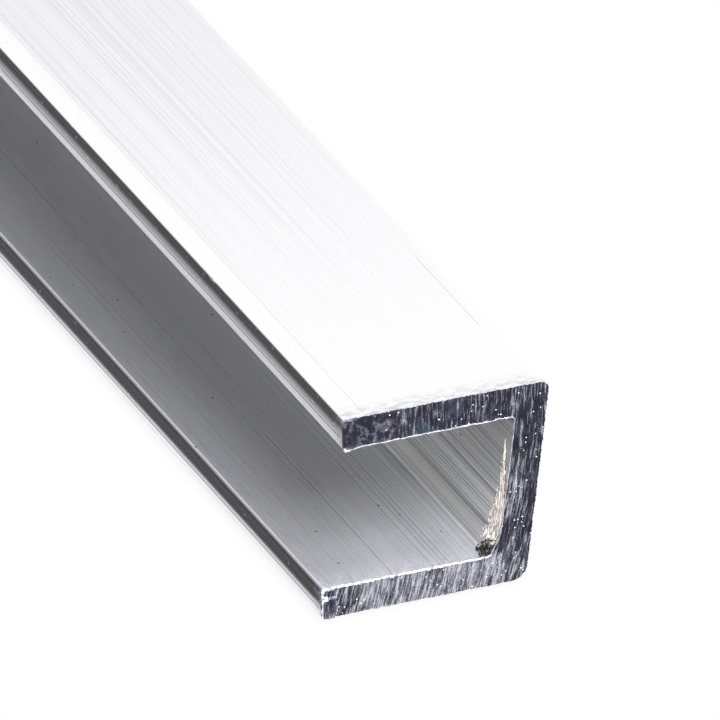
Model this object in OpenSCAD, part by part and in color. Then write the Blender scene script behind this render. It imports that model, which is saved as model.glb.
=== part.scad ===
// Aluminium U-channel: one extruded bar, sawn square at both ends and lying on its lower flange.
// X runs along the bar. The web stands at +Y, and the groove opens towards -Y.
// The origin is the middle of the rectangle that the bar covers on the floor.

/* [Section] */
// Width, from the flange tips to the back of the web
channel_w = 20; // [14:0.5:60]
// Height over both flanges
channel_h = 20; // [14:0.5:60]
// Thickness of the web
web_t = 3; // [1.6:0.1:5]
// Thickness of each flange
flange_t = 3; // [1.6:0.1:5]

/* [Edges] */
// Radius of the two outer corners along the back
back_r = 1; // [0.2:0.1:1.5]
// Radius in the groove, where the upper flange meets the web
upper_root_r = 0.4; // [0.1:0.1:1.5]
// Radius in the groove, where the lower flange meets the web
lower_root_r = 1.2; // [0.1:0.1:1.5]
// Radius of the long edges of the flange tips
tip_r = 0.4; // [0.1:0.1:1.4]

/* [Length] */
// Length of the bar between its sawn ends
bar_l = 1000; // [50:10:6000]

/* [Hidden] */
$fn = 64;
groove_d = channel_w - web_t; // depth of the groove, from the flange tips to the web
groove_h = channel_h - 2 * flange_t; // clear height between the flanges
tip_flat_least = 0.1; // narrowest flat left on a flange tip
tip_round = min(tip_r, (flange_t - tip_flat_least) / 2); // a thin flange has room for less
over = 1; // how far a cut runs past the face that it starts from

// The stretch of metal between a sharp corner at the origin and an arc of radius r inside it.
// Taken off a corner, it rounds the corner; left standing in one, it is a fillet.
module corner_sliver(r) {
  difference() {
    translate([-over, -over]) square(r + over);
    translate([r, r]) circle(r);
  }
}

// The groove's outline, with the mouth on the left and its two roots on the right
module groove_outline() {
  difference() {
    translate([-over, 0]) square([groove_d + over, groove_h]);
    translate([groove_d, 0]) mirror([1, 0]) corner_sliver(lower_root_r);
    translate([groove_d, groove_h]) mirror([1, 0]) mirror([0, 1]) corner_sliver(upper_root_r);
  }
}

// One flange tip's two long edges, with the flange standing on the line y = 0
module tip_edges() {
  corner_sliver(tip_round);
  translate([0, flange_t]) mirror([0, 1]) corner_sliver(tip_round);
}

// The section, with its lower left corner at the origin
module section_outline() {
  difference() {
    square([channel_w, channel_h]);
    translate([0, flange_t]) groove_outline();
    translate([channel_w, 0]) mirror([1, 0]) corner_sliver(back_r);
    translate([channel_w, channel_h]) mirror([1, 0]) mirror([0, 1]) corner_sliver(back_r);
    tip_edges();
    translate([0, channel_h - flange_t]) tip_edges();
  }
}

module u_channel() {
  color("silver")
    rotate([90, 0, 90])
      linear_extrude(bar_l, center = true)
        translate([-channel_w / 2, 0]) section_outline();
}

u_channel();
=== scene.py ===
import math
import random

import bmesh
import bpy
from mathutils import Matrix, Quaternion, Vector


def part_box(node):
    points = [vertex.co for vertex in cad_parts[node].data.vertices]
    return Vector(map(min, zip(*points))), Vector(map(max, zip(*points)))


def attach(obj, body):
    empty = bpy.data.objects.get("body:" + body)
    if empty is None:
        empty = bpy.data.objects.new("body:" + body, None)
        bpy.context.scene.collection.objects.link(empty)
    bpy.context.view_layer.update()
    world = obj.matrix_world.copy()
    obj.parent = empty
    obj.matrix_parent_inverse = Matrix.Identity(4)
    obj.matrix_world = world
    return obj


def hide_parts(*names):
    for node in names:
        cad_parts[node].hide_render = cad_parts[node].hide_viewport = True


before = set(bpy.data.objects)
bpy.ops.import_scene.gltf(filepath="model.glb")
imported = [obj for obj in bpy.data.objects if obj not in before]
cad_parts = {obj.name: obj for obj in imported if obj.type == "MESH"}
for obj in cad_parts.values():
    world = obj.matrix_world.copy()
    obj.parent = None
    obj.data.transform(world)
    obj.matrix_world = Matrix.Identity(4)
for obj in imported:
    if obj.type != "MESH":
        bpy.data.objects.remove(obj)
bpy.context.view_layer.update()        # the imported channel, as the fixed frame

# The bar lies along X on its lower flange, sawn square at both ends. All in metres.
mm = 0.001
lowCorner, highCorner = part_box("u_channel")
barEnd = highCorner.x              # the sawn end in front
tipY, backY = lowCorner.y, highCorner.y
topZ = highCorner.z
touch = 0.01 * mm                  # closer than this counts as the same place


# Helpers for working on a mesh as by hand

def dropSelection():
    if bpy.context.object and bpy.context.object.mode != "OBJECT":
        bpy.ops.object.mode_set(mode="OBJECT")
    bpy.ops.object.select_all(action="DESELECT")


def workOn(piece):
    dropSelection()
    piece.select_set(True)
    bpy.context.view_layer.objects.active = piece


def openMesh(piece, kind="FACE"):
    workOn(piece)
    bpy.ops.object.mode_set(mode="EDIT")
    bpy.ops.mesh.select_mode(type=kind)
    bpy.ops.mesh.select_all(action="DESELECT")


def closeMesh():
    bpy.ops.object.mode_set(mode="OBJECT")


def pickFaces(piece, wanted):
    bpy.ops.mesh.select_all(action="DESELECT")
    bm = bmesh.from_edit_mesh(piece.data)
    for face in bm.faces:
        if wanted(face.calc_center_median(), face.normal):
            face.select_set(True)
    bmesh.update_edit_mesh(piece.data)


def pickEdges(piece, wanted):
    bpy.ops.mesh.select_all(action="DESELECT")
    bm = bmesh.from_edit_mesh(piece.data)
    for edge in bm.edges:
        bend = edge.calc_face_angle(0) if edge.is_manifold else 0
        if wanted(edge.verts[0].co, edge.verts[1].co, bend):
            edge.select_set(True)
    bmesh.update_edit_mesh(piece.data)


def pickPoints(piece, wanted):
    bpy.ops.mesh.select_all(action="DESELECT")
    bm = bmesh.from_edit_mesh(piece.data)
    for point in bm.verts:
        if wanted(point.co):
            point.select_set(True)
    bm.select_flush(True)
    bmesh.update_edit_mesh(piece.data)


def sliceAll(normal, places):
    for place in places:
        bpy.ops.mesh.select_all(action="SELECT")
        bpy.ops.mesh.bisect(plane_co=Vector(normal) * place, plane_no=normal)


def addModifier(piece, name, kind, **settings):
    modifier = piece.modifiers.new(name, kind)
    for key, value in settings.items():
        setattr(modifier, key, value)
    workOn(piece)
    bpy.ops.object.modifier_apply(modifier=modifier.name)


def roughen(piece, name, kind, depth, centre, stretch, group="", direction="NORMAL", **settings):
    # displaces by a procedural texture, laid out by an empty that is taken away again
    texture = bpy.data.textures.new(name, kind)
    for key, value in settings.items():
        setattr(texture, key, value)
    dropSelection()
    bpy.ops.object.empty_add(location=centre)
    guide = bpy.context.object
    guide.scale = stretch
    bpy.context.view_layer.update()
    addModifier(piece, name, "DISPLACE", texture=texture, texture_coords="OBJECT",
                texture_coords_object=guide, strength=depth, mid_level=0.5, direction=direction,
                vertex_group=group)
    bpy.data.objects.remove(guide)
    bpy.data.textures.remove(texture)


# Helpers for materials

def addNode(tree, kind, place, links=(), **settings):
    node = tree.nodes.new(kind)
    node.location = place
    for key, value in settings.items():
        setattr(node, key, value)
    for socket, source in dict(links).items():
        if isinstance(source, bpy.types.NodeSocket):
            tree.links.new(source, node.inputs[socket])
        else:
            node.inputs[socket].default_value = source
    return node


def doMath(tree, operation, place, *values):
    return addNode(tree, "ShaderNodeMath", place, enumerate(values), operation=operation).outputs[0]


def remap(tree, place, value, low, high, toLow=0.0, toHigh=1.0):
    links = {"Value": value, "From Min": low, "From Max": high, "To Min": toLow, "To Max": toHigh}
    return addNode(tree, "ShaderNodeMapRange", place, links, interpolation_type="SMOOTHSTEP").outputs[0]


def mixColours(tree, place, share, first, second, way="MIX"):
    links = {0: share, 6: first, 7: second}
    return addNode(tree, "ShaderNodeMix", place, links, data_type="RGBA", blend_type=way).outputs[2]


def mixNumbers(tree, place, share, first, second):
    return addNode(tree, "ShaderNodeMix", place, {0: share, 2: first, 3: second}).outputs[0]


def makeNoise(tree, place, spot, scale, detail, roughness):
    links = {"Vector": spot, "Scale": scale, "Detail": detail, "Roughness": roughness}
    return addNode(tree, "ShaderNodeTexNoise", place, links).outputs[0]


def readSpot(tree, place):
    # the point on the piece, and its x, y and z
    spot = addNode(tree, "ShaderNodeTexCoord", place).outputs["Object"]
    parts = addNode(tree, "ShaderNodeSeparateXYZ", (place[0] + 180, place[1]), {0: spot}).outputs
    return spot, parts[0], parts[1], parts[2]


def lengthOf(tree, place, aside, above):
    # how far a point lies from a centre, from its distances aside and above
    flat = addNode(tree, "ShaderNodeCombineXYZ", (place[0] - 150, place[1] - 100), {0: aside, 1: above})
    length = addNode(tree, "ShaderNodeVectorMath", place, {0: flat.outputs[0]}, operation="LENGTH")
    return length.outputs["Value"]


def newGroup(name, inputs, outputs):
    group = bpy.data.node_groups.new(name, "ShaderNodeTree")
    for label, value in inputs.items():
        socket = group.interface.new_socket(label, in_out="INPUT", socket_type="NodeSocketFloat")
        socket.default_value = value
    for label in outputs:
        group.interface.new_socket(label, in_out="OUTPUT", socket_type="NodeSocketFloat")
    source = addNode(group, "NodeGroupInput", (-1400, 0))
    target = addNode(group, "NodeGroupOutput", (900, 0))
    return group, source.outputs, target.inputs


def placeGroup(tree, group, place, **values):
    node = addNode(tree, "ShaderNodeGroup", place, node_tree=group)
    for label, value in values.items():
        node.inputs[label].default_value = value
    return node.outputs


# Effects that several finishes share. Their sizes are in millimetres.

drawnLines = {"broadScale": 0.16, "broadShare": 0.22, "streakFrom": 0.46, "streakTo": 0.64}


def drawnLinesGroup(s):
    # the long fine lines that the die leaves along the bar
    inputs = {"Pitch": 0.2, "Run": 120, "Seed": 0}
    group, given, result = newGroup("drawnLines", inputs, ("Height", "Streak"))
    x, y, z = readSpot(group, (-1200, 300))[1:]
    across = doMath(group, "DIVIDE", (-800, 100), 1000, given["Pitch"])
    along = doMath(group, "DIVIDE", (-800, -100), 1000, given["Run"])
    u = doMath(group, "MULTIPLY_ADD", (-600, 300), x, along, given["Seed"])
    v = doMath(group, "MULTIPLY", (-600, 100), y, across)
    w = doMath(group, "MULTIPLY", (-600, -100), z, across)
    stretched = addNode(group, "ShaderNodeCombineXYZ", (-400, 200), {0: u, 1: v, 2: w}).outputs[0]
    fine = makeNoise(group, (-200, 300), stretched, 1.0, 4.0, 0.65)
    broad = makeNoise(group, (-200, 0), stretched, s["broadScale"], 3.0, 0.6)
    height = mixNumbers(group, (100, 200), s["broadShare"], fine, broad)
    group.links.new(height, result["Height"])
    streak = remap(group, (300, -50), height, s["streakFrom"], s["streakTo"])
    group.links.new(streak, result["Streak"])
    return group


sawnArcs = {"driftAlong": 0.7, "streakFrom": 0.44, "streakTo": 0.64}


def sawnArcsGroup(s, centreY, centreZ):
    # the arcs that a circular blade scores into the cut
    inputs = {"Pitch": 0.3, "Run": 6, "Seed": 0}
    group, given, result = newGroup("sawnArcs", inputs, ("Height", "Streak"))
    x, y, z = readSpot(group, (-1200, 300))[1:]
    aside = doMath(group, "SUBTRACT", (-800, 300), y, centreY)
    above = doMath(group, "SUBTRACT", (-800, 100), z, centreZ)
    radius = lengthOf(group, (-500, 300), aside, above)
    across = doMath(group, "DIVIDE", (-500, 100), 1000, given["Pitch"])
    along = doMath(group, "DIVIDE", (-500, -100), 1000, given["Run"])
    u = doMath(group, "MULTIPLY", (-300, 300), radius, across)
    v = doMath(group, "MULTIPLY", (-300, 100), z, along)
    w = doMath(group, "MULTIPLY_ADD", (-300, -100), x, s["driftAlong"], given["Seed"])
    stretched = addNode(group, "ShaderNodeCombineXYZ", (-100, 200), {0: u, 1: v, 2: w}).outputs[0]
    fine = makeNoise(group, (100, 300), stretched, 1.0, 4.0, 0.6)
    group.links.new(fine, result["Height"])
    group.links.new(remap(group, (450, 0), fine, s["streakFrom"], s["streakTo"]), result["Streak"])
    return group


def specksGroup():
    # scattered pits, dust and bright grains; the bright grains on the sawn ends are painted glints
    group, given, result = newGroup("specks", {"Spacing": 1.5, "Size": 0.12, "Share": 0.3}, ("Mask",))
    spot = readSpot(group, (-1200, 300))[0]
    scale = doMath(group, "DIVIDE", (-800, 100), 1000, given["Spacing"])
    cells = addNode(group, "ShaderNodeTexVoronoi", (-600, 300), {"Vector": spot, "Scale": scale})
    reach = doMath(group, "DIVIDE", (-600, 0), given["Size"], given["Spacing"])
    core = doMath(group, "MULTIPLY", (-450, 0), reach, 0.5)
    dot = remap(group, (-300, 200), cells.outputs["Distance"], reach, core)
    luck = addNode(group, "ShaderNodeSeparateXYZ", (-400, -100), {0: cells.outputs["Color"]}).outputs[0]
    kept = doMath(group, "LESS_THAN", (-200, -100), luck, given["Share"])
    group.links.new(doMath(group, "MULTIPLY", (0, 100), dot, kept), result["Mask"])
    return group


def nearCutGroup():
    # full at the sawn ends, and gone beyond the reach
    group, given, result = newGroup("nearCut", {"Reach": 1.0}, ("Mask",))
    x = readSpot(group, (-1200, 300))[1]
    inwards = doMath(group, "SUBTRACT", (-700, 200), barEnd, doMath(group, "ABSOLUTE", (-850, 200), x))
    steps = doMath(group, "MULTIPLY", (-500, 200), inwards, 1000)
    group.links.new(remap(group, (-300, 200), steps, given["Reach"], 0.0), result["Mask"])
    return group


scoreLine = {"startFade": 0.6, "endFade": 4.0}


def scoreLineGroup(s):
    # one long scratch at a place in the section, between two distances from the front cut
    inputs = {"Y": 0, "Z": 0, "Width": 0.06, "From": 0, "To": 20}
    group, given, result = newGroup("scoreLine", inputs, ("Mask",))
    x, y, z = readSpot(group, (-1200, 300))[1:]
    across = doMath(group, "MULTIPLY", (-950, 300), y, 1000)
    up = doMath(group, "MULTIPLY", (-950, 100), z, 1000)
    aside = doMath(group, "SUBTRACT", (-800, 300), across, given["Y"])
    above = doMath(group, "SUBTRACT", (-800, 100), up, given["Z"])
    line = remap(group, (-300, 300), lengthOf(group, (-500, 300), aside, above), given["Width"], 0.0)
    inwards = doMath(group, "MULTIPLY_ADD", (-500, 0), x, -1000, 1000 * barEnd)
    sinceStart = doMath(group, "SUBTRACT", (-350, 50), inwards, given["From"])
    begun = remap(group, (-200, 50), sinceStart, 0.0, s["startFade"])
    beforeEnd = doMath(group, "SUBTRACT", (-350, -150), given["To"], inwards)
    left = remap(group, (-200, -150), beforeEnd, 0.0, s["endFade"])
    span = doMath(group, "MULTIPLY", (-50, 0), begun, left)
    group.links.new(doMath(group, "MULTIPLY", (100, 100), line, span), result["Mask"])
    return group


def newFinish(name):
    material = bpy.data.materials.new(name)
    material.use_nodes = True
    tree = material.node_tree
    return material, tree, tree.nodes["Principled BSDF"]


def raiseRelief(tree, shader, place, height, depth):
    bump = addNode(tree, "ShaderNodeBump", place, {"Height": height, "Distance": depth}).outputs[0]
    tree.links.new(bump, shader.inputs["Normal"])


# Mill finish for the drawn faces. Reach, pitch, run, spacing and size are in millimetres.

drawnFinish = {
    "light": (0.90, 0.897, 0.905, 1),
    "dark": (0.70, 0.70, 0.725, 1),
    "farShade": (0.86, 0.86, 0.89, 1),     # painted shade: a greyer tint far from the cuts
    "smudge": (0.70, 0.70, 0.73, 1),
    "pit": (0.10, 0.09, 0.08, 1),
    "linePitch": 0.16, "lineRun": 140,
    "score": (0.16, 0.15, 0.16, 1),
    "bumpDepth": 0.006 * mm,
    "roughLow": 0.20, "roughHigh": 0.36, "roughFromHeight": 0.3, "roughToHeight": 0.7, "scuffRough": 0.45,
    "cutReach": 75, "streakAtCut": 0.45, "streakBeyond": 1.0, "farShadeShare": 0.7,
    "smudgeReach": 1.8, "smudgeShare": 0.8, "smudgeStretch": (2400, 700, 2400),
    "smudgeFrom": 0.42, "smudgeTo": 0.62,      # the stretch is in patches to a metre, along each axis
    "calmFrom": 4 * mm, "calmTo": -2 * mm, "calmShare": 0.0,      # fainter lines towards the tips
    # painted shade: darker along an axis (1 is Y, 2 is Z), between two places on it, and less so beside the
    # cuts
    "darkerTone": (0.40, 0.40, 0.405, 1), "shadeAxis": 1,
    "shadeFrom": -1.5 * mm, "shadeTo": -9.5 * mm, "darkerShare": 0.0, "shadeEasedAtCuts": 0.5,
    "pitSpacing": 2.6, "pitSize": 0.13, "pitShare": 0.0,
    "markDepth": 1.5,              # pits and scores, against the lines
    "metallic": 1.0,
    "scores": (),                  # y, z, width, from, to in mm, and how dark
}
topFinish = dict(
    drawnFinish, smudge=(0.50, 0.50, 0.54, 1), smudgeReach=2.4, streakAtCut=0.12,
    calmFrom=-7.2 * mm, calmTo=-8.4 * mm, calmShare=0.9,
    scores=((-7.75, 20, 0.06, 0, 140, 0.3), (8.4, 20, 0.06, 9.5, 24, 0.4), (9.37, 20, 0.12, 0.4, 1.6, 0.9)),
)
# painted shade: the groove's faces darker towards the flange tips, and a little greyer away from the cuts
grooveFinish = dict(
    drawnFinish, linePitch=0.12, bumpDepth=0.009 * mm, roughLow=0.24, roughHigh=0.42, metallic=0.86,
    light=(0.98, 0.98, 0.99, 1), dark=(0.45, 0.45, 0.455, 1), smudge=(0.84, 0.84, 0.95, 1),
    farShade=(0.95, 0.95, 0.965, 1), cutReach=52, darkerShare=0.62,
    streakAtCut=1.0, streakBeyond=0.2, farShadeShare=1.0,
    smudgeReach=4.2, smudgeShare=0.5, smudgeStretch=(7500, 5200, 7500), scuffRough=0.6,
    pitSpacing=1.7, pitSize=0.14, pitShare=0.25, calmShare=0.55,
    scores=((-3.1, 3, 0.06, 0, 26, 0.7), (1.9, 3, 0.06, 0, 14, 0.6)),
)
# painted shade: the web inside the groove is a darker copy of the groove finish, and darker still from 6 mm
# up towards the upper flange, less so beside the cuts
webFinish = dict(
    grooveFinish, light=(0.79, 0.79, 0.78, 1), dark=(0.18, 0.18, 0.18, 1), metallic=0.95,
    calmShare=0.0, smudgeShare=0.25,
    darkerTone=(0.12, 0.12, 0.115, 1), shadeAxis=2, shadeFrom=6 * mm, shadeTo=14 * mm, darkerShare=0.9,
    scores=((7, 9.30, 0.08, 0, 30, 1), (7, 9.02, 0.06, 0, 24, 0.8), (7, 12.4, 0.06, 1, 16, 0.7)),
)
tipFinish = dict(
    drawnFinish, roughLow=0.12, roughHigh=0.24, bumpDepth=0.004 * mm, smudgeShare=0.2,
    light=(0.90, 0.885, 0.93, 1), dark=(0.52, 0.51, 0.57, 1), streakAtCut=1.0,
    pitSpacing=0.8, pitSize=0.16, pitShare=0.4, pit=(1.0, 1.0, 1.0, 1),
    farShadeShare=0.0, scores=((-9.88, 18.1, 0.12, 0, 1000, 0.7), (-9.92, 0.92, 0.12, 0, 1000, 1)),
)


def makeDrawnFinish(name, s, shared, seed):
    material, tree, shader = newFinish(name)
    spot, x, y, z = readSpot(tree, (-1600, -200))
    line = placeGroup(tree, shared["lines"], (-1100, 200), Pitch=s["linePitch"], Run=s["lineRun"], Seed=seed)
    ahead = placeGroup(tree, shared["nearCut"], (-1400, 100), Reach=s["cutReach"])["Mask"]
    depth = mixNumbers(tree, (-1100, 50), ahead, s["streakBeyond"], s["streakAtCut"])
    calm = remap(tree, (-1250, -100), y, s["calmFrom"], s["calmTo"], 1.0, 1.0 - s["calmShare"])
    depth = doMath(tree, "MULTIPLY", (-1000, 50), depth, calm)
    streak = doMath(tree, "MULTIPLY", (-950, 250), line["Streak"], depth)
    colour = mixColours(tree, (-800, 300), streak, s["light"], s["dark"])
    # painted shade: the faces turn greyer away from the cuts
    beyond = doMath(tree, "MULTIPLY_ADD", (-1050, 450), ahead, -s["farShadeShare"], s["farShadeShare"])
    beyond = doMath(tree, "MULTIPLY", (-900, 450), beyond, calm)
    colour = mixColours(tree, (-650, 400), beyond, colour, s["farShade"], "MULTIPLY")
    # painted shade: darker by place across the groove and up the web, eased beside the cuts
    place = (x, y, z)[s["shadeAxis"]]
    darkerTone = remap(tree, (-1250, 700), place, s["shadeFrom"], s["shadeTo"], 0.0, s["darkerShare"])
    eased = doMath(tree, "MULTIPLY_ADD", (-1100, 600), ahead, -s["shadeEasedAtCuts"], 1.0)
    darkerTone = doMath(tree, "MULTIPLY", (-950, 700), darkerTone, eased)
    colour = mixColours(tree, (-600, 500), darkerTone, colour, s["darkerTone"])
    # scuffed and smudged beside the cuts
    cut = placeGroup(tree, shared["nearCut"], (-1100, -100), Reach=s["smudgeReach"])["Mask"]
    laid = addNode(tree, "ShaderNodeVectorMath", (-1250, -300), {0: spot, 1: s["smudgeStretch"]},
                   operation="MULTIPLY").outputs[0]
    patches = makeNoise(tree, (-1100, -300), laid, 1.0, 4.0, 0.7)
    patches = remap(tree, (-900, -200), patches, s["smudgeFrom"], s["smudgeTo"])
    scuff = doMath(tree, "MULTIPLY", (-700, -150), cut, patches)
    share = doMath(tree, "MULTIPLY", (-550, -150), scuff, s["smudgeShare"])
    colour = mixColours(tree, (-550, 300), share, colour, s["smudge"])
    # pits and score lines
    pits = placeGroup(tree, shared["specks"], (-1100, -500), Spacing=s["pitSpacing"], Size=s["pitSize"],
                      Share=s["pitShare"])["Mask"]
    colour = mixColours(tree, (-450, 300), pits, colour, s["pit"])
    marks = 0.0
    for k, (atY, atZ, width, start, stop, strength) in enumerate(s["scores"]):
        score = placeGroup(tree, shared["scoreLine"], (-1100, -700 - 200 * k), Y=atY, Z=atZ, Width=width,
                           From=start, To=stop)["Mask"]
        score = doMath(tree, "MULTIPLY", (-900, -650 - 200 * k), score, strength)
        marks = doMath(tree, "MAXIMUM", (-750, -600 - 200 * k), marks, score)
    colour = mixColours(tree, (-350, 300), marks, colour, s["score"])
    tree.links.new(colour, shader.inputs["Base Color"])
    rough = remap(tree, (-550, 0), line["Height"], s["roughFromHeight"], s["roughToHeight"],
                  s["roughLow"], s["roughHigh"])
    rough = mixNumbers(tree, (-350, 0), scuff, rough, s["scuffRough"])
    tree.links.new(rough, shader.inputs["Roughness"])
    deep = doMath(tree, "MAXIMUM", (-450, -300), marks, pits)
    sunk = doMath(tree, "MULTIPLY_ADD", (-350, -300), deep, -s["markDepth"], line["Height"])
    raiseRelief(tree, shader, (-200, -300), sunk, s["bumpDepth"])
    shader.inputs["Metallic"].default_value = s["metallic"]
    return material


# The sawn ends: pitch, run, spacing and size are in millimetres

sawnFinish = {
    # the cut's dark bluish ground: partly the torn metal's own dull tone, partly painted shade, darkened and
    # blued beyond the metal's own colour
    "dark": (0.085, 0.083, 0.13, 1),
    "light": (0.76, 0.75, 0.82, 1),
    "teal": (0.15, 0.20, 0.26, 1),
    # painted glints: white specks standing in for glints on the cut
    "paintedGlint": (1.0, 1.0, 1.0, 1),
    "arcPitch": 0.14, "arcRun": 1.6,
    "broadPitch": 0.5, "broadRun": 6, "broadSeed": 5, "broadShare": 0.3,
    "gritPitch": 0.11, "gritShare": 1.15,
    "cloudPitch": 1.6, "cloudShare": 0.7,
    # smeared, not streaked, on the upper flange by its tip
    "blotchPitch": 0.7, "blotchLift": 0.7, "blotchShare": 0.8, "blotchFrom": 0.42, "blotchTo": 0.66,
    "blotchFromY": -3 * mm, "blotchToY": -6 * mm, "blotchAboveZ": 10 * mm,
    "tealScale": 420, "tealFrom": 0.5, "tealTo": 0.66,       # patches to a metre
    "lowFlangeLitLift": 0.52,         # painted light: how much brighter the lower flange's cut is made
    "lowFlangeHighZ": 4.2 * mm, "lowFlangeFullZ": 2.6 * mm,
    "lowFlangeBackY": 11 * mm, "lowFlangeFullY": 5.5 * mm,
    "lowFlangeTipY": -9 * mm, "lowFlangeInnerY": -4 * mm, "lowFlangeAtTip": 0.35,
    "litWebZ": 9.3 * mm, "litWebReach": 4 * mm, "litWebLift": 0.42,      # painted light on the web's middle too
    "litWebBackY": 9.4 * mm, "litWebFullY": 7.6 * mm,
    "tornFrom": 0.16, "tornTo": 1.35,
    "glintSpacing": 0.55, "glintSize": 0.08, "glintShare": 0.16,
    "bumpDepth": 0.05 * mm,
    "rough": 0.36, "tornMetalLoss": 0.25, "glintMetalLoss": 0.7,
    "snapY": tipY + 1.45 * mm, "snapLine": 0.05 * mm, "snapTopZ": 3.0 * mm, "snapFullZ": 2.6 * mm,
}


def makeSawnFinish(name, s, shared):
    material, tree, shader = newFinish(name)
    spot, x, y, z = readSpot(tree, (-1700, 0))
    fine = placeGroup(tree, shared["arcs"], (-1400, 300), Pitch=s["arcPitch"], Run=s["arcRun"])
    broad = placeGroup(tree, shared["arcs"], (-1400, 100), Pitch=s["broadPitch"], Run=s["broadRun"],
                       Seed=s["broadSeed"])
    cut = mixNumbers(tree, (-1200, 200), s["broadShare"], fine["Streak"], broad["Streak"])
    # blotches take over from the streaks on the upper flange, towards its tip
    blotch = makeNoise(tree, (-1400, 500), spot, 1000 / s["blotchPitch"], 3.0, 0.6)
    blotch = remap(tree, (-1200, 450), blotch, s["blotchFrom"], s["blotchTo"], 0.0, s["blotchLift"])
    front = remap(tree, (-1200, 650), y, s["blotchFromY"], s["blotchToY"], 0.0, s["blotchShare"])
    upper = doMath(tree, "GREATER_THAN", (-1200, 850), z, s["blotchAboveZ"])
    front = doMath(tree, "MULTIPLY", (-1050, 650), front, upper)
    cut = mixNumbers(tree, (-1000, 300), front, cut, blotch)
    # grit and clouds, then painted light: the lower flange's cut and a band across the web's middle made
    # brighter by place
    grit = makeNoise(tree, (-1200, -350), spot, 1000 / s["gritPitch"], 2.0, 0.6)
    cloud = makeNoise(tree, (-1200, -500), spot, 1000 / s["cloudPitch"], 2.0, 0.5)
    cut = doMath(tree, "MULTIPLY_ADD", (-850, 100), grit, s["gritShare"], cut)
    cut = doMath(tree, "MULTIPLY_ADD", (-750, 50), cloud, s["cloudShare"], cut)
    # painted light: the lower flange's cut lifted brighter, less so under the web and at its tip
    low = remap(tree, (-1200, 0), z, s["lowFlangeHighZ"], s["lowFlangeFullZ"])
    beforeWeb = remap(tree, (-1200, -80), y, s["lowFlangeBackY"], s["lowFlangeFullY"])
    low = doMath(tree, "MULTIPLY", (-1050, 0), low, beforeWeb)
    pastTip = remap(tree, (-1200, -200), y, s["lowFlangeTipY"], s["lowFlangeInnerY"],
                    s["lowFlangeAtTip"], 1.0)
    low = doMath(tree, "MULTIPLY", (-950, -50), low, pastTip)
    cut = doMath(tree, "MULTIPLY_ADD", (-650, 0), low, s["lowFlangeLitLift"], cut)
    # painted light: a band across the web's middle lifted brighter, less so towards the back
    aside = doMath(tree, "ABSOLUTE", (-1050, -250), doMath(tree, "SUBTRACT", (-1200, -250), z, s["litWebZ"]))
    lit = remap(tree, (-900, -250), aside, s["litWebReach"], 0.0)
    beforeBack = remap(tree, (-900, -400), y, s["litWebBackY"], s["litWebFullY"])
    lit = doMath(tree, "MULTIPLY", (-750, -250), lit, beforeBack)
    cut = doMath(tree, "MULTIPLY_ADD", (-600, -100), lit, s["litWebLift"], cut)
    steady = (s["gritShare"] + s["cloudShare"]) / 2          # what grit and clouds add on average
    # the bright share holds the torn texture and the painted light together
    tornAndLit = remap(tree, (-500, 100), cut, s["tornFrom"] + steady, s["tornTo"] + steady)
    patch = makeNoise(tree, (-1050, 500), spot, s["tealScale"], 3.0, 0.6)
    patch = remap(tree, (-850, 450), patch, s["tealFrom"], s["tealTo"])
    ground = mixColours(tree, (-500, 350), patch, s["dark"], s["teal"])
    colour = mixColours(tree, (-300, 300), tornAndLit, ground, s["light"])
    # painted glints: white specks that stand in for glints on the cut's facets
    glintsAndSnapEdge = placeGroup(tree, shared["specks"], (-950, -600), Spacing=s["glintSpacing"], Size=s["glintSize"],
                        Share=s["glintShare"])["Mask"]
    # the edge of the snapped corner on the front lower tip
    aside = doMath(tree, "ABSOLUTE", (-950, -800), doMath(tree, "SUBTRACT", (-1100, -800), y, s["snapY"]))
    snapped = remap(tree, (-750, -800), aside, s["snapLine"], 0.0)
    below = remap(tree, (-750, -950), z, s["snapTopZ"], s["snapFullZ"])
    snapped = doMath(tree, "MULTIPLY", (-600, -800), snapped, below)
    inFront = doMath(tree, "GREATER_THAN", (-600, -950), x, 0.0)
    snapped = doMath(tree, "MULTIPLY", (-450, -800), snapped, inFront)
    glintsAndSnapEdge = doMath(tree, "MAXIMUM", (-300, -600), glintsAndSnapEdge, snapped)
    colour = mixColours(tree, (-150, 300), glintsAndSnapEdge, colour, s["paintedGlint"])
    tree.links.new(colour, shader.inputs["Base Color"])
    # torn metal, with the painted-lit places, and the white painted glints scatter the light more than the
    # bright cut does
    metal = doMath(tree, "MULTIPLY_ADD", (-300, 0), tornAndLit, -s["tornMetalLoss"], 1.0)
    metal = doMath(tree, "MULTIPLY_ADD", (-150, 0), glintsAndSnapEdge, -s["glintMetalLoss"], metal)
    tree.links.new(metal, shader.inputs["Metallic"])
    height = doMath(tree, "ADD", (-450, -300), fine["Height"], grit)
    raiseRelief(tree, shader, (-300, -300), height, s["bumpDepth"])
    shader.inputs["Roughness"].default_value = s["rough"]
    return material


# The bar

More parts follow.
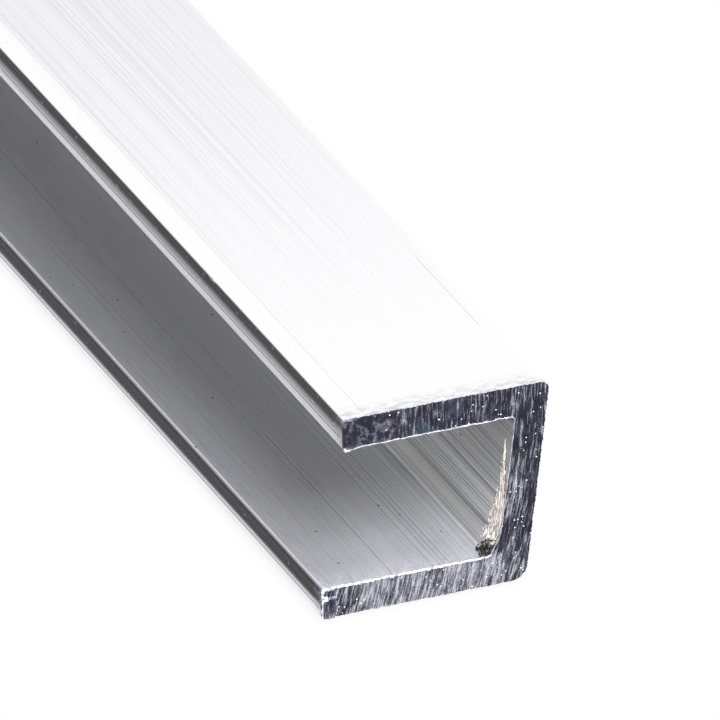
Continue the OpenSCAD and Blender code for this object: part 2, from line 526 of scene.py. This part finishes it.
barShape = {
    "webT": 3 * mm,
    "flangeT": 3 * mm,
    "upperBackR": 1.0 * mm, "lowerBackR": 1.4 * mm,
    "upperRootR": 0.4 * mm,
    # above the lower flange the web thickens, from this height over this depth
    "rootRise": 2.1 * mm, "rootDepth": 0.85 * mm, "rootBendR": 0.9 * mm, "lowerRootR": 0.25 * mm,
    "upperTipR": 0.14 * mm, "lowerTipR": 0.28 * mm, "footR": 0.22 * mm,
    # the lower part of a tip leans back: where it starts below the flange's top, and its setback at the foot
    "upperLeanStart": 0.65 * mm, "lowerLeanStart": 1.3 * mm, "footSetback": 0.30 * mm, "leanSteps": 7,
    "leanCurve": 1.5,
    "arcSteps": 7,
    "gridPitch": 0.125 * mm,        # spacing of the lines that carry the drawn and sawn relief
    "nearEndCuts": (0.12, 0.3, 0.6, 1.2, 2.5, 5, 10, 20, 40, 80),  # mm from each end
    "nickCuts": (23.2, 23.7, 23.9, 24.1, 24.3, 24.8),      # mm from the front end
    "nickDepth": 0.08 * mm, "nickReach": 0.45 * mm, "nickWidth": 0.15 * mm,
    "middleCuts": 16,
    "dieWaveDepth": 0.008 * mm, "dieWavePitch": 0.8 * mm, "dieWaveRun": 300 * mm, "dieWaveX": 300 * mm,
    "sawnDepth": 0.06 * mm, "sawnPitch": 0.55 * mm,
    "cutEdgeWaver": 0.05 * mm,
    "lastOut": 0.36 * mm, "lastReach": 2.6 * mm,     # the front upper tip, cut last, stands out
    "snapWidth": 1.4 * mm, "snapRise": 0.2 * mm, "snapZ": 2.1 * mm,   # the front lower tip, broken off
    "mergeShare": 1 / 12,          # of the grid's pitch: points closer than this are one
    "cutZone": 0.1 * mm, "snapZone": 0.08 * mm,      # how near a cut a point counts as on it
    "tipZone": 0.2 * mm,           # and how near the tip's face or the top
    "tipDressed": 0.7 * mm, "dressMargin": 0.05 * mm,
    "edgeAngle": 35,
}
bladeMark = {"centreY": tipY - 75 * mm, "centreZ": 12 * mm}       # the middle of the saw blade's arcs
ringRepeat = 0.314                 # the ring texture repeats at this distance


def runsAlong(a, b, y, z):
    near = all(abs(p.y - y) < touch and abs(p.z - z) < touch for p in (a, b))
    return near and abs(a.x - b.x) > barEnd


def makeBar(s):
    # the web first, then the flanges drawn out of it
    web = Vector((2 * barEnd, s["webT"], topZ))
    dropSelection()
    bpy.ops.mesh.primitive_cube_add(size=1, location=(0, backY - web.y / 2, topZ / 2), scale=web)
    bar = bpy.context.object
    bar.name = "channelBar"
    bpy.ops.object.transform_apply(location=True, rotation=True, scale=True)
    grooveLow, grooveHigh = s["flangeT"], topZ - s["flangeT"]
    grooveY = backY - s["webT"]
    openMesh(bar)
    rootTop, rootY = grooveLow + s["rootRise"], grooveY - s["rootDepth"]
    sliceAll((0, 0, 1), (grooveLow, rootTop, grooveHigh))
    pickFaces(bar, lambda c, n: n.y < -0.9 and not grooveLow < c.z < grooveHigh)
    bpy.ops.mesh.extrude_region_move(TRANSFORM_OT_translate={"value": (0, tipY - grooveY, 0)})
    # the two outer corners along the back, rounded before the finer lines cross them
    bpy.ops.mesh.select_mode(type="EDGE")
    for z, r in ((0, s["lowerBackR"]), (topZ, s["upperBackR"])):
        pickEdges(bar, lambda a, b, bend: runsAlong(a, b, backY, z))
        bpy.ops.mesh.bevel(offset=r, segments=s["arcSteps"], profile=0.5, affect="EDGES")
    # the web's foot in the groove, then flange tips that lean back towards their own foot
    pickEdges(bar, lambda a, b, bend: runsAlong(a, b, grooveY, grooveLow))
    bpy.ops.transform.translate(value=(0, rootY - grooveY, 0))
    for flangeTop, start in ((grooveLow, s["lowerLeanStart"]), (topZ, s["upperLeanStart"])):
        shares = [k / s["leanSteps"] for k in range(1, s["leanSteps"] + 1)]
        downs = [start + (s["flangeT"] - start) * share for share in shares]
        sliceAll((0, 0, 1), [flangeTop - down for down in downs[:-1]])
        for share, down in zip(shares, downs):
            pickEdges(bar, lambda a, b, bend: runsAlong(a, b, tipY, flangeTop - down))
            bpy.ops.transform.translate(value=(0, s["footSetback"] * share ** s["leanCurve"], 0))
    # the other long edges rounded
    foot = tipY + s["footSetback"]
    for y, z, r in (
        (grooveY, rootTop, s["rootBendR"]), (rootY, grooveLow, s["lowerRootR"]),
        (grooveY, grooveHigh, s["upperRootR"]),
        (foot, 0, s["footR"]), (tipY, grooveLow, s["lowerTipR"]),
        (foot, grooveHigh, s["footR"]), (tipY, topZ, s["upperTipR"]),
    ):
        pickEdges(bar, lambda a, b, bend: runsAlong(a, b, y, z))
        bpy.ops.mesh.bevel(offset=r, segments=s["arcSteps"], profile=0.5, affect="EDGES")
    # fine lines for the relief, then cuts that come closer together towards the sawn ends
    bpy.ops.mesh.select_mode(type="FACE")
    across = round(topZ / s["gridPitch"])
    sliceAll((0, 0, 1), [topZ * k / across for k in range(1, across)])
    sliceAll((0, 1, 0), [tipY + (backY - tipY) * k / across for k in range(1, across)])
    near = [barEnd - d * mm for d in s["nearEndCuts"]]
    middle = [near[-1] * (2 * k / s["middleCuts"] - 1) for k in range(1, s["middleCuts"])]
    sliceAll((1, 0, 0), near + middle + [-x for x in near] + [barEnd - d * mm for d in s["nickCuts"]])
    bpy.ops.mesh.select_all(action="SELECT")
    bpy.ops.mesh.remove_doubles(threshold=s["gridPitch"] * s["mergeShare"])
    closeMesh()
    return bar


def markGroup(bar, name, wanted):
    bar.vertex_groups.new(name=name)
    openMesh(bar, "VERT")
    pickPoints(bar, wanted)
    bpy.ops.object.vertex_group_assign()
    closeMesh()


def wearBar(bar, s):
    # shallow waves along the bar from the die, and blade arcs in both cuts
    markGroup(bar, "cutFaces", lambda p: abs(p.x) > barEnd - touch)
    roughen(bar, "dieWaves", "CLOUDS", s["dieWaveDepth"], (s["dieWaveX"], 0, 0),
            (s["dieWaveRun"], s["dieWavePitch"], s["dieWavePitch"]), noise_scale=1.0, noise_depth=2)
    ring = s["sawnPitch"] / ringRepeat
    roughen(bar, "bladeArcs", "WOOD", s["sawnDepth"], (0, bladeMark["centreY"], bladeMark["centreZ"]),
            (ring, ring, ring), group="cutFaces", direction="X",
            wood_type="RINGNOISE", noise_scale=1.4, turbulence=6.0)
    # edges of the cuts a little uneven
    openMesh(bar, "EDGE")
    pickEdges(bar, lambda a, b, bend: min(abs(a.x), abs(b.x)) > barEnd - s["cutZone"] and bend > 1)
    bpy.ops.transform.vertex_random(offset=s["cutEdgeWaver"], uniform=0.5, seed=3)
    # the front upper tip stands out
    bpy.ops.mesh.select_mode(type="VERT")
    atTip = tipY + s["tipZone"]
    pickPoints(bar, lambda p: p.x > barEnd - s["cutZone"] and p.y < atTip and p.z > topZ - s["flangeT"])
    bpy.ops.transform.translate(value=(s["lastOut"], 0, 0), use_proportional_edit=True,
                                proportional_edit_falloff="SMOOTH", proportional_size=s["lastReach"])
    # the front lower tip broke off with a step
    pickPoints(bar, lambda p: (p.x > barEnd - s["snapZone"]
                               and p.y < tipY + s["snapWidth"] and p.z < s["snapZ"]))
    bpy.ops.transform.translate(value=(s["snapRise"], 0, 0))
    # a nick in the upper tip's top edge
    nickX = barEnd - sum(s["nickCuts"]) / len(s["nickCuts"]) * mm
    pickPoints(bar, lambda p: (abs(p.x - nickX) < s["nickWidth"]
                               and p.y < atTip and p.z > topZ - s["tipZone"]))
    bpy.ops.transform.translate(value=(0, s["nickDepth"], -s["nickDepth"]), use_proportional_edit=True,
                                proportional_edit_falloff="SHARP", proportional_size=s["nickReach"])
    closeMesh()
    bpy.ops.object.shade_smooth_by_angle(angle=math.radians(s["edgeAngle"]))


def dressBar(bar, s, finishes):
    # slot 0 outer faces, 1 groove, 2 flange tips, 3 sawn ends, 4 web inside the groove
    for finish in finishes:
        bar.data.materials.append(finish)
    grooveY = backY - s["webT"] + s["dressMargin"]
    low = s["flangeT"] - s["dressMargin"]
    high = topZ - s["flangeT"] + s["dressMargin"]
    for face in bar.data.polygons:
        c, n = face.center, face.normal
        if abs(n.x) > 0.7 or abs(c.x) > barEnd - touch:
            face.material_index = 3
        elif c.y < tipY + s["tipDressed"] and abs(n.z) < 0.9:
            face.material_index = 2
        elif c.y < grooveY and low < c.z < high:
            face.material_index = 4 if n.y < -0.7 else 1


# Where each face of the bar lies on a square map: the long faces as strips, the cuts below them

bakeLayout = {
    "stripScale": 5.75 / mm / 1024,          # share of the map for a metre across a strip
    "cutScale": 14.0 / mm / 1024,
    "gap": 5 / 1024,
    "firstStrip": 0.295,
    "alongKnots": ((0, 0.005), (2.5, 0.025), (10, 0.075), (80, 0.205), (500, 0.5)),   # mm from an end, place
}


def alongPlace(x, knots):
    inwards = max(0, (barEnd - abs(x)) / mm)
    for (near, low), (far, high) in zip(knots, knots[1:]):
        if inwards <= far:
            place = low + (high - low) * (inwards - near) / (far - near)
            return place if x < 0 else 1 - place
    return 0.5


def layOutBar(bar, s):
    middle = topZ / 2
    strips = (
        # wanted by centre and normal, where its across starts, axis across, width
        (lambda c, n: n.z < 0 and abs(n.z) > abs(n.y) and c.z < middle, tipY, 1, backY - tipY),
        (lambda c, n: n.z > 0 and abs(n.z) > abs(n.y) and c.z > middle, tipY, 1, backY - tipY),
        (lambda c, n: n.z > 0 and abs(n.z) > abs(n.y), tipY, 1, backY - tipY - barShape["webT"]),
        (lambda c, n: n.z < 0 and abs(n.z) > abs(n.y), tipY, 1, backY - tipY - barShape["webT"]),
        (lambda c, n: n.y > 0, 0, 2, topZ),
        (lambda c, n: c.y > 0, barShape["flangeT"], 2, topZ - 2 * barShape["flangeT"]),
        (lambda c, n: c.z > middle, topZ - barShape["flangeT"], 2, barShape["flangeT"]),
        (lambda c, n: True, 0, 2, barShape["flangeT"]),
    )
    starts = []
    place = s["firstStrip"]
    for strip in strips:
        starts.append(place)
        place += strip[3] * s["stripScale"] + s["gap"]
    places = bar.data.uv_layers.new(name="OFBake").uv
    for face in bar.data.polygons:
        if face.material_index == 3:
            aside = s["gap"] + (0 if face.center.x > 0 else (backY - tipY) * s["cutScale"] + s["gap"])
            for corner in face.loop_indices:
                p = bar.data.vertices[bar.data.loops[corner].vertex_index].co
                places[corner].vector = (aside + (p.y - tipY) * s["cutScale"], s["gap"] + p.z * s["cutScale"])
            continue
        k = [strip[0](face.center, face.normal) for strip in strips].index(True)
        start, axis = strips[k][1:3]
        for corner in face.loop_indices:
            p = bar.data.vertices[bar.data.loops[corner].vertex_index].co
            along = alongPlace(p.x, s["alongKnots"])
            places[corner].vector = (along, starts[k] + (p[axis] - start) * s["stripScale"])


# The burr that the saw raises round the groove and on the tips

burrShape = {
    "floorEdge": 0.13 * mm, "floorEdgeByWeb": 0.065 * mm,
    "webEdge": 0.03 * mm,
    "roofEdge": 0.045 * mm,
    "lowerTipEdge": 0.095 * mm, "lowerTipEnds": 0.03 * mm, "upperTipFoot": 0.11 * mm,
    "unevenness": 0.28, "tipUnevenness": 0.6,
    "settling": 0.45, "leastSwell": 0.25,      # how soon it comes back to its plain thickness
    "outwards": 0.03 * mm,
    "margin": 0.3 * mm,                # round the groove's outline, for picking its edges
    "tipDepth": 0.9 * mm,              # the tip's share of the outline
    "lowerTipFrom": 0.7 * mm, "lowerTipTo": 2.4 * mm,
    "joined": 0.001 * mm,              # the caps' points are merged with the ends that they close
    "tornDepth": 0.06 * mm, "tornPitch": 0.3 * mm,
}


def burrRadius(p, s):
    onTip = p.y < tipY + s["tipDepth"]
    roof = topZ - barShape["flangeT"] - s["margin"]
    if onTip and p.z < barShape["flangeT"] - s["margin"]:
        return s["lowerTipEdge"] if s["lowerTipFrom"] < p.z < s["lowerTipTo"] else s["lowerTipEnds"]
    if onTip and p.z > roof:
        return s["upperTipFoot"]
    if p.z < barShape["flangeT"] + s["margin"]:
        share = (p.y - tipY) / (backY - barShape["webT"] - tipY)
        return s["floorEdge"] + share ** 2 * (s["floorEdgeByWeb"] - s["floorEdge"])
    if p.z > roof:
        return s["roofEdge"]
    return s["webEdge"]


def makeBurr(bar, s, finish):
    high = topZ - barShape["flangeT"] + s["margin"]
    low = barShape["flangeT"] - s["margin"]
    grooveY = backY - barShape["webT"] + s["margin"]

    def onBurrEdge(a, b, bend):
        c = (a + b) / 2
        inGroove = c.y < grooveY and low < c.z < high
        onTip = c.y < tipY + 0.5 * mm and c.z < high + 0.1 * mm
        return min(abs(a.x), abs(b.x)) > barEnd - 0.2 * mm and bend > 0.8 and (inGroove or onTip)

    openMesh(bar, "EDGE")
    pickEdges(bar, onBurrEdge)
    bpy.ops.mesh.duplicate()
    bpy.ops.mesh.separate(type="SELECTED")
    closeMesh()
    burr = [piece for piece in bpy.context.selected_objects if piece is not bar][0]
    burr.name = "cutBurr"
    burr.data.materials.clear()
    workOn(burr)
    bpy.ops.object.convert(target="CURVE")
    burr.data.bevel_depth = 1.0
    burr.data.bevel_resolution = 2
    burr.data.use_fill_caps = True
    luck = random.Random(11)
    for spline in burr.data.splines:
        swell = 1.0
        for point in spline.points:
            onTip = point.co.y < tipY + 0.6 * mm
            uneven = s["tipUnevenness"] if onTip else s["unevenness"]
            swell += s["settling"] * (1.0 - swell) + luck.uniform(-1, 1) * uneven
            point.radius = burrRadius(point.co, s) * max(swell, s["leastSwell"])
            point.co.x += math.copysign(s["outwards"], point.co.x)
    bpy.ops.object.convert(target="MESH")
    openMesh(burr)
    bpy.ops.mesh.select_all(action="SELECT")
    bpy.ops.mesh.remove_doubles(threshold=s["joined"])
    bpy.ops.mesh.normals_make_consistent(inside=False)
    closeMesh()
    roughen(burr, "tornEdge", "CLOUDS", s["tornDepth"], (0, 0, 0), [s["tornPitch"]] * 3, noise_scale=1.0)
    burr.data.materials.clear()
    burr.data.materials.append(finish)
    bpy.ops.object.shade_smooth()
    return burr


burrFinish = {
    "bright": (0.95, 0.95, 0.97, 1), "darkerTone": (0.36, 0.36, 0.41, 1),
    "patchScale": 2600,                # patches to a metre
    "patchFrom": 0.50, "patchTo": 0.66,
    "dullFromZ": 3 * mm, "dullAboveZ": 5 * mm, "darkerShare": 0.55,
    "rough": 0.42, "metallic": 0.6,
}


def makeBurrFinish(name, s):
    material, tree, shader = newFinish(name)
    spot, *height = readSpot(tree, (-1100, 0))
    patches = makeNoise(tree, (-700, 100), spot, s["patchScale"], 3.0, 0.6)
    patches = remap(tree, (-500, 100), patches, s["patchFrom"], s["patchTo"])
    above = remap(tree, (-700, -100), height[2], s["dullFromZ"], s["dullAboveZ"], 0.0, s["darkerShare"])
    patches = doMath(tree, "MAXIMUM", (-400, 0), patches, above)
    colour = mixColours(tree, (-300, 200), patches, s["bright"], s["darkerTone"])
    tree.links.new(colour, shader.inputs["Base Color"])
    shader.inputs["Roughness"].default_value = s["rough"]
    shader.inputs["Metallic"].default_value = s["metallic"]
    return material


# A smear of torn film and dust on the web, beside the front cut, and the crumbs below it

smearShape = {
    "highZ": 15.4 * mm, "lowZ": 3.7 * mm,
    "width": 2.3 * mm, "taper": 1.4,   # at the foot, tapering to nothing at the top
    "inset": 0.15 * mm,                # from the cut
    "topInset": 1.0 * mm, "leansFromZ": 9 * mm,        # it leans away from the cut above this height
    "rowPitch": 0.10 * mm,
    "frayed": 0.40 * mm,
    "startGap": 2 * mm,                # made this far in front of the web, then laid on it
    "offWeb": 0.04 * mm, "thickness": 0.07 * mm,
    "lift": 0.10 * mm, "crumple": (0.35 * mm, 0.35 * mm, 1.6 * mm),
    "edgeAngle": 40,
}


def makeSmear(bar, s, finish):
    face = backY - barShape["webT"]
    tall = s["highZ"] - s["lowZ"]
    dropSelection()
    bpy.ops.mesh.primitive_grid_add(x_subdivisions=round(s["width"] / s["rowPitch"]),
                                    y_subdivisions=round(tall / s["rowPitch"]), size=1)
    smear = bpy.context.object
    smear.name = "tornSmear"
    smear.scale = (s["width"], tall, 1)
    smear.rotation_euler.x = math.radians(90)
    smear.location = (barEnd - s["inset"] - s["width"] / 2, face - s["startGap"], s["lowZ"] + tall / 2)
    bpy.ops.object.transform_apply(location=True, rotation=True, scale=True)
    luck = random.Random(4)
    fray = {}

    def beyondEdge(c, n):
        row = round(c.z / s["rowPitch"])
        if row not in fray:
            fray[row] = luck.uniform(-1, 1) * s["frayed"]
        share = max(0, (s["highZ"] - c.z) / tall)
        reach = s["width"] * share ** s["taper"] + fray[row] * min(1, 2 * share ** 1.5)
        lean = s["topInset"] * max(0, (c.z - s["leansFromZ"]) / (s["highZ"] - s["leansFromZ"]))
        away = barEnd - s["inset"] - c.x
        return reach < s["rowPitch"] or not lean < away < lean + reach

    openMesh(smear)
    pickFaces(smear, beyondEdge)
    bpy.ops.mesh.delete(type="FACE")
    closeMesh()
    addModifier(smear, "laidOnWeb", "SHRINKWRAP", target=bar, wrap_method="PROJECT", use_project_y=True,
                use_negative_direction=False, use_positive_direction=True, offset=s["offWeb"])
    addModifier(smear, "thickness", "SOLIDIFY", thickness=s["thickness"], offset=1.0)
    roughen(smear, "crumpled", "CLOUDS", s["lift"], (0, 0, 0), s["crumple"], noise_scale=1.0)
    smear.data.materials.append(finish)
    bpy.ops.object.shade_smooth_by_angle(angle=math.radians(s["edgeAngle"]))
    return smear


crumbShape = {
    "count": 130, "small": 0.04 * mm, "large": 0.13 * mm,
    "reachX": 1.2 * mm, "reachY": 0.85 * mm, "reachZ": 1.5 * mm,
    "fromCut": 0.12 * mm, "fromWeb": 0.05 * mm, "fromFloor": 0.12 * mm,
    "gathering": 1.4,              # how strongly they gather at the cut
    "ragged": 0.3,                 # how far a crumb's points move, against its size
    "seed": 21,
}


def makeCrumbs(s, finish):
    luck = random.Random(s["seed"])
    rootY = backY - barShape["webT"] - barShape["rootDepth"]
    corner = Vector((barEnd - s["fromCut"], rootY + s["fromWeb"], barShape["flangeT"] + s["fromFloor"]))
    lean = barShape["rootDepth"] / barShape["rootRise"]        # the heap lies against the web's foot
    crumbs = []
    for k in range(s["count"]):
        away = luck.random() ** s["gathering"]
        out = luck.random() ** 2 * s["reachY"]
        up = luck.random() ** 2 * s["reachZ"] * (1 - 0.5 * away)
        place = corner + Vector((-away * s["reachX"], up * lean - out, up))
        size = luck.uniform(s["small"], s["large"])
        dropSelection()
        bpy.ops.mesh.primitive_ico_sphere_add(subdivisions=2, radius=1, location=place)
        crumb = bpy.context.object
        crumb.scale = [size * luck.uniform(0.5, 1.5) for axis in range(3)]
        crumb.rotation_euler = [luck.uniform(0, math.pi) for axis in range(3)]
        bpy.ops.object.transform_apply(location=True, rotation=True, scale=True)
        bpy.ops.object.mode_set(mode="EDIT")
        bpy.ops.mesh.select_all(action="SELECT")
        bpy.ops.transform.vertex_random(offset=s["ragged"] * size, seed=k)
        closeMesh()
        crumbs.append(crumb)
    for crumb in crumbs:
        crumb.select_set(True)
    bpy.ops.object.join()
    heap = bpy.context.object
    heap.name = "sawCrumbs"
    heap.data.materials.append(finish)
    return heap


filmFinish = {
    "light": (0.95, 0.87, 0.78, 1), "dark": (0.24, 0.21, 0.18, 1), "darkFrom": 0.40, "darkTo": 0.58,
    "pitch": 0.13, "run": 1.2,     # in millimetres
    "rough": 0.75, "bumpDepth": 0.03 * mm,
}
crumbFinish = dict(
    filmFinish, light=(0.34, 0.25, 0.18, 1), dark=(0.008, 0.006, 0.005, 1), darkFrom=0.32, darkTo=0.47,
    pitch=0.3, run=0.3,
)


def makeDustFinish(name, s):
    material, tree, shader = newFinish(name)
    spot = readSpot(tree, (-1100, 0))[0]
    size = (1000 / s["pitch"], 1000 / s["pitch"], 1000 / s["run"])
    laid = addNode(tree, "ShaderNodeVectorMath", (-700, 100), {0: spot, 1: size},
                   operation="MULTIPLY").outputs[0]
    shade = makeNoise(tree, (-500, 100), laid, 1.0, 4.0, 0.65)
    shade = remap(tree, (-300, 100), shade, s["darkFrom"], s["darkTo"])
    colour = mixColours(tree, (-100, 200), shade, s["light"], s["dark"])
    tree.links.new(colour, shader.inputs["Base Color"])
    raiseRelief(tree, shader, (-200, -200), shade, s["bumpDepth"])
    shader.inputs["Roughness"].default_value = s["rough"]
    return material


shared = {
    "lines": drawnLinesGroup(drawnLines),
    "arcs": sawnArcsGroup(sawnArcs, bladeMark["centreY"], bladeMark["centreZ"]),
    "specks": specksGroup(),
    "nearCut": nearCutGroup(),
    "scoreLine": scoreLineGroup(scoreLine),
}
finishes = [
    makeDrawnFinish("drawnFace", topFinish, shared, 0.0),
    makeDrawnFinish("grooveFace", grooveFinish, shared, 17.0),
    makeDrawnFinish("tipFace", tipFinish, shared, 31.0),
    makeSawnFinish("sawnEnd", sawnFinish, shared),
    makeDrawnFinish("webFace", webFinish, shared, 23.0),
]
bar = makeBar(barShape)
wearBar(bar, barShape)
dressBar(bar, barShape, finishes)
layOutBar(bar, bakeLayout)
print("bar drawn and sawn:", len(bar.data.polygons), "faces")
burr = makeBurr(bar, burrShape, makeBurrFinish("burr", burrFinish))
smear = makeSmear(bar, smearShape, makeDustFinish("tornFilm", filmFinish))
crumbs = makeCrumbs(crumbShape, makeDustFinish("crumb", crumbFinish))
print("burr, smear and crumbs made:", sum(len(p.data.polygons) for p in (burr, smear, crumbs)), "faces")
for piece in (bar, burr, smear, crumbs):
    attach(piece, "root")
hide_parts("u_channel")


# Stage, light and camera

studio = {
    "surround": 0.34,
    "zones": (
        # direction, full within, gone beyond (degrees), brightness
        ((0.0, 0.0, 1.0), 38, 66, 0.95),
        ((-0.86, 0.51, 0.0), 50, 66, 1.09),
        ((-0.80, 0.15, -0.62), 22, 38, 1.0),
        ((-0.74, -0.52, -0.46), 11, 19, 0.065),
    ),
    "lampPlace": (barEnd + 0.38, -0.07, 0.58), "lampSize": 0.35, "lampPower": 12.0,
    "lampTint": (0.90, 0.92, 1.0),
    "floorSize": 30.0, "floorDrop": 0.05 * mm,
    "paper": (0.9, 0.9, 0.9, 1), "contactShade": 0.88, "contactReach": 1 * mm,
}


def makeStudio(s):
    world = bpy.data.worlds.new("studio")
    bpy.context.scene.world = world
    world.use_nodes = True
    tree = world.node_tree
    tree.nodes.clear()
    towards = addNode(tree, "ShaderNodeTexCoord", (-1200, 0)).outputs["Generated"]
    level = s["surround"]
    for k, (direction, inner, outer, bright) in enumerate(s["zones"]):
        way = Vector(direction).normalized()
        aim = addNode(tree, "ShaderNodeVectorMath", (-900, -250 * k), {0: towards, 1: way},
                      operation="DOT_PRODUCT").outputs["Value"]
        least, full = math.cos(math.radians(outer)), math.cos(math.radians(inner))
        mask = remap(tree, (-700, -250 * k), aim, least, full)
        level = mixNumbers(tree, (-500, -250 * k), mask, level, bright)
    tint = addNode(tree, "ShaderNodeCombineColor", (-300, 0), {0: level, 1: level, 2: level}).outputs[0]
    room = addNode(tree, "ShaderNodeBackground", (-100, 0), {"Color": tint}).outputs[0]
    paper = addNode(tree, "ShaderNodeBackground", (-100, 200), {"Color": (1, 1, 1, 1)}).outputs[0]
    seen = addNode(tree, "ShaderNodeLightPath", (-300, 400)).outputs["Is Camera Ray"]
    both = addNode(tree, "ShaderNodeMixShader", (100, 100), {0: seen, 1: room, 2: paper}).outputs[0]
    addNode(tree, "ShaderNodeOutputWorld", (300, 100), {0: both})
    # a soft lamp that looks in at the open end
    place = Vector(s["lampPlace"])
    dropSelection()
    bpy.ops.object.light_add(type="AREA", location=place)
    lamp = bpy.context.object
    lamp.name = "softLamp"
    lamp.rotation_euler = (Vector((barEnd, 0, topZ / 2)) - place).to_track_quat("-Z", "Y").to_euler()
    lamp.data.size = s["lampSize"]
    lamp.data.energy = s["lampPower"]
    lamp.data.color = s["lampTint"]
    lamp.visible_camera = False


def makeFloor(s):
    # pale paper: evenly white to the eye, but for a faint shade where the bar touches it
    dropSelection()
    bpy.ops.mesh.primitive_plane_add(size=s["floorSize"], location=(0, 0, -s["floorDrop"]))
    floor = bpy.context.object
    floor.name = "paperFloor"
    bpy.ops.object.transform_apply(location=True, rotation=True, scale=True)
    material, tree, shader = newFinish("paper")
    shader.inputs["Base Color"].default_value = s["paper"]
    unhidden = addNode(tree, "ShaderNodeAmbientOcclusion", (-700, 200), {"Distance": s["contactReach"]})
    shade = mixNumbers(tree, (-500, 200), unhidden.outputs["AO"], s["contactShade"], 1.0)
    tint = addNode(tree, "ShaderNodeCombineColor", (-300, 200), {0: shade, 1: shade, 2: shade}).outputs[0]
    glow = addNode(tree, "ShaderNodeEmission", (-100, 200), {"Color": tint}).outputs[0]
    seen = addNode(tree, "ShaderNodeLightPath", (-100, 400)).outputs["Is Camera Ray"]
    both = addNode(tree, "ShaderNodeMixShader", (300, 200), {0: seen, 1: shader.outputs[0], 2: glow})
    tree.links.new(both.outputs[0], tree.nodes["Material Output"].inputs["Surface"])
    floor.data.materials.append(material)
    floor.visible_glossy = False


cameraView = {
    "back": (0.72753, -0.44482, 0.52233),     # from the object towards the camera
    "roll": 6.72,
    "lens": 1001.6,
    "place": (barEnd + 1.22818, -0.75992, 0.90760),
}


def makeCamera(s):
    camera = bpy.data.objects.new("camera", bpy.data.cameras.new("camera"))
    bpy.context.scene.collection.objects.link(camera)
    camera.data.sensor_width = 36
    camera.data.lens = s["lens"]
    camera.location = s["place"]
    camera.rotation_mode = "QUATERNION"
    level = (-Vector(s["back"])).to_track_quat("-Z", "Y")
    camera.rotation_quaternion = level @ Quaternion((0, 0, 1), math.radians(s["roll"]))
    bpy.context.scene.camera = camera


makeStudio(studio)
makeFloor(studio)
makeCamera(cameraView)
bpy.context.scene.view_settings.view_transform = "Standard"
print("stage, light and camera set")

bpy.context.view_layer.update()
